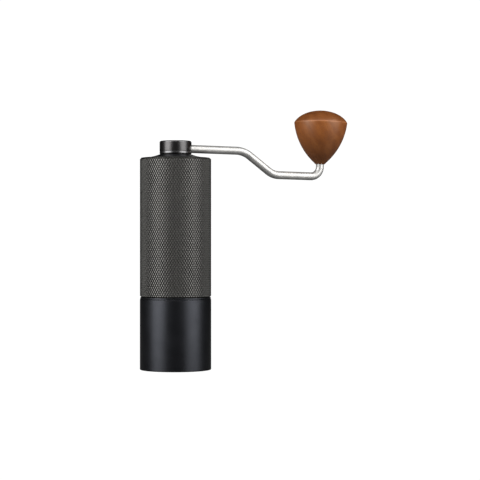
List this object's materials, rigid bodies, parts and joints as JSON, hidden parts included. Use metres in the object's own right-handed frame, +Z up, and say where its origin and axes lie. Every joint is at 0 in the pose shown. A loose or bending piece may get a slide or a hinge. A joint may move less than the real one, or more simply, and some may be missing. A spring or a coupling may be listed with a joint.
{
  "type": "hand crank coffee grinder",
  "caption": "Slim hand crank coffee grinder: knurled dark barrel, smooth screw-off cup, bent steel crank with a turned wooden knob, conical burr set inside.",
  "frame": {"origin": "centre of the cup's base, on the surface that the grinder stands on", "axes": "+Z up along the drive shaft, +X towards the knob with the crank at rest"},
  "size_m": [0.1607, 0.052, 0.1919],
  "materials": {
    "anodised_satin": "satin black anodised, turned",
    "anodised_knurled": "matt dark grey anodised, diamond knurled",
    "polished_steel": "polished stainless steel",
    "burr_steel": "hardened steel, machined",
    "spring_steel": "bright spring steel",
    "brass": "turned brass",
    "black_plastic": "moulded black nylon",
    "pale_nylon": "natural nylon",
    "seal_rubber": "matt black silicone",
    "walnut": "oiled dark walnut, satin"
  },
  "bodies": {
    "barrel": {"barrel": "anodised_knurled", "burr_carrier": "anodised_satin", "upper_bracket": "black_plastic", "bracket_snap_ring": "spring_steel", "ring_burr": "burr_steel", "burr_lock_ring": "brass", "upper_bearing_outer_race": "polished_steel", "upper_bearing_shield": "spring_steel", "lower_bearing_outer_race": "polished_steel", "lower_bearing_shield": "spring_steel"},
    "cup_seal": {"cup_seal": "seal_rubber"},
    "cup": {"catch_cup": "anodised_satin"},
    "lid": {"lid": "anodised_satin", "lid_seal": "seal_rubber", "lid_bush": "pale_nylon"},
    "crank": {"crank_hub": "anodised_satin", "crank_arm": "polished_steel", "arm_cross_pin": "spring_steel", "hub_thrust_washer": "pale_nylon", "hub_circlip": "spring_steel", "knob_snap_ring": "spring_steel"},
    "knob": {"knob": "walnut", "knob_bush": "brass", "knob_end_pad": "pale_nylon"},
    "shaft": {"drive_shaft": "polished_steel", "shaft_circlip": "spring_steel", "spring_upper_washer": "spring_steel", "upper_bearing_inner_race": "polished_steel", "lower_bearing_inner_race": "polished_steel", "burr_spring": "spring_steel"},
    "upper_balls": {"upper_bearing_balls": "polished_steel"},
    "lower_balls": {"lower_bearing_balls": "polished_steel"},
    "burr": {"inner_burr": "burr_steel", "click_plate": "polished_steel", "spring_lower_washer": "spring_steel"},
    "dial": {"adjustment_dial": "anodised_satin", "dial_thread_insert": "brass", "detent_ball_1": "polished_steel", "detent_spring_1": "spring_steel", "detent_ball_2": "polished_steel", "detent_spring_2": "spring_steel"}
  },
  "joints": [
    {"name": "crank_turn", "type": "hinge", "parent": "lid", "child": "crank", "pos_m": [0, 0, 0.16], "axis": [0, 0, 1], "continuous": true},
    {"name": "knob_spin", "type": "hinge", "parent": "crank", "child": "knob", "pos_m": [0.11409, 0, 0.1515], "axis": [0.0209, 0, 0.9998], "continuous": true},
    {"name": "shaft_turn", "type": "hinge", "parent": "barrel", "child": "shaft", "pos_m": [0, 0, 0.1], "axis": [0, 0, 1], "continuous": true},
    {"name": "upper_balls_turn", "type": "hinge", "parent": "barrel", "child": "upper_balls", "pos_m": [0, 0, 0.1251], "axis": [0, 0, 1], "continuous": true},
    {"name": "lower_balls_turn", "type": "hinge", "parent": "barrel", "child": "lower_balls", "pos_m": [0, 0, 0.0891], "axis": [0, 0, 1], "continuous": true},
    {"name": "lid_lift", "type": "slide", "parent": "barrel", "child": "lid", "axis": [0, 0, 1], "range_m": [0, 0.06]},
    {"name": "cup_pull_off", "type": "slide", "parent": "barrel", "child": "cup_seal", "axis": [0, 0, -1], "range_m": [0, 0.055]},
    {"name": "cup_unscrew", "type": "hinge", "parent": "cup_seal", "child": "cup", "pos_m": [0, 0, 0.045], "axis": [0, 0, -1], "range_deg": [0, 720]},
    {"name": "dial_turn", "type": "hinge", "parent": "burr", "child": "dial", "pos_m": [0, 0, 0.05], "axis": [0, 0, 1], "range_deg": [-720, 360]},
    {"name": "burr_shift", "type": "slide", "parent": "shaft", "child": "burr", "axis": [0, 0, 1], "range_m": [-0.002, 0.001], "deforming": ["burr_spring"]}
  ],
  "couplings": [
    {"joint": "shaft_turn", "follows": "crank_turn", "ratio": 1},
    {"joint": "upper_balls_turn", "follows": "crank_turn", "ratio": 0.4125},
    {"joint": "lower_balls_turn", "follows": "crank_turn", "ratio": 0.4125},
    {"joint": "dial_turn", "follows": "burr_shift", "rad_per_m": 6283.2}
  ]
}
